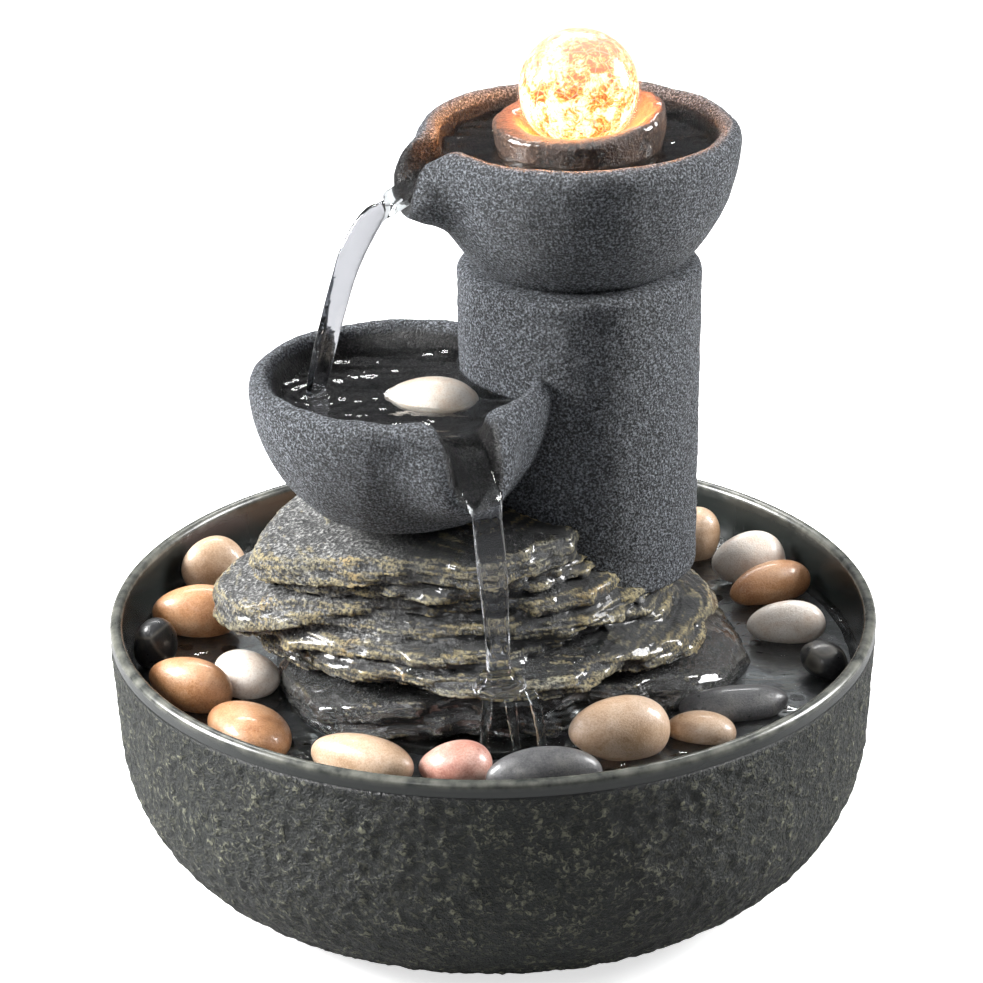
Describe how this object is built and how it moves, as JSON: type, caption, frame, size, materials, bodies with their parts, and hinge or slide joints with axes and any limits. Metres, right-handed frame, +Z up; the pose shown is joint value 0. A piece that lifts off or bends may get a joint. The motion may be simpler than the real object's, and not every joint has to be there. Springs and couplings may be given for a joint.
{
  "type": "tabletop water fountain",
  "caption": "Tabletop fountain: pump in a round basin lifts water through a stone column to a lit glass ball, and it pours from bowl to bowl over stacked slate.",
  "frame": {"origin": "centre of the basin's footprint, on the table", "axes": "+Z up, -Y is the front of the fountain, +X to the right seen from the front"},
  "size_m": [0.21, 0.21, 0.2354],
  "materials": {
    "basin_cast": "satin",
    "black_rubber": "matte",
    "pump_plastic": "satin",
    "slate_rock": "satin",
    "tower_stone": "matte",
    "wet_stone": "gloss",
    "crackle_glass": "polished",
    "board_white": "matte",
    "lamp_chip": "gloss",
    "clear_lens": "polished",
    "clear_tube": "gloss",
    "dial_grey": "satin",
    "impeller_white": "satin",
    "shaft_ceramic": "gloss",
    "pebble_tan": "gloss",
    "pebble_brown": "gloss",
    "pebble_cream": "gloss",
    "pebble_pink": "gloss",
    "pebble_grey": "gloss",
    "pebble_black": "gloss",
    "pebble_veined": "gloss",
    "water": "polished"
  },
  "bodies": {
    "fountain": {"basin": "basin_cast", "foot_pads": "black_rubber", "cable_grommet": "black_rubber", "pebble_tray": "pump_plastic", "rock_base": "slate_rock", "column": "tower_stone", "middle_bowl": "tower_stone", "top_bowl": "tower_stone", "ball_holder": "wet_stone", "led_housing": "pump_plastic", "led_board": "board_white", "led_chips": "lamp_chip", "led_lens": "clear_lens", "led_lead": "black_rubber", "riser_tube": "clear_tube", "pump_body": "pump_plastic", "pump_cover": "pump_plastic", "pump_feet": "black_rubber", "rotor_shaft": "shaft_ceramic", "pebbles_tan": "pebble_tan", "pebbles_brown": "pebble_brown", "pebbles_cream": "pebble_cream", "pebbles_pink": "pebble_pink", "pebbles_grey": "pebble_grey", "pebbles_black": "pebble_black"},
    "ball": {"crystal_ball": "crackle_glass"},
    "door": {"access_door": "slate_rock"},
    "loose_pebble": {"bowl_pebble": "pebble_veined"},
    "strainer": {"pump_strainer": "pump_plastic"},
    "dial": {"flow_dial": "dial_grey"},
    "rotor": {"impeller": "impeller_white"}
  },
  "joints": [
    {"name": "ball_lift", "type": "slide", "parent": "fountain", "child": "ball", "axis": [0, 0, 1], "range_m": [0, 0.04]},
    {"name": "door_lift", "type": "slide", "parent": "fountain", "child": "door", "axis": [0, 0, 1], "range_m": [0, 0.08]},
    {"name": "pebble_lift", "type": "slide", "parent": "fountain", "child": "loose_pebble", "axis": [0, 0, 1], "range_m": [0, 0.025]},
    {"name": "strainer_pull", "type": "slide", "parent": "fountain", "child": "strainer", "axis": [0, 1, 0], "range_m": [0, 0.016]},
    {"name": "flow_dial_turn", "type": "hinge", "parent": "strainer", "child": "dial", "pos_m": [0.024, 0.0265, 0.027], "axis": [0, 1, 0], "range_deg": [-45, 45]},
    {"name": "rotor_spin", "type": "hinge", "parent": "fountain", "child": "rotor", "pos_m": [0.024, 0.001, 0.027], "axis": [0, 1, 0], "continuous": true}
  ]
}
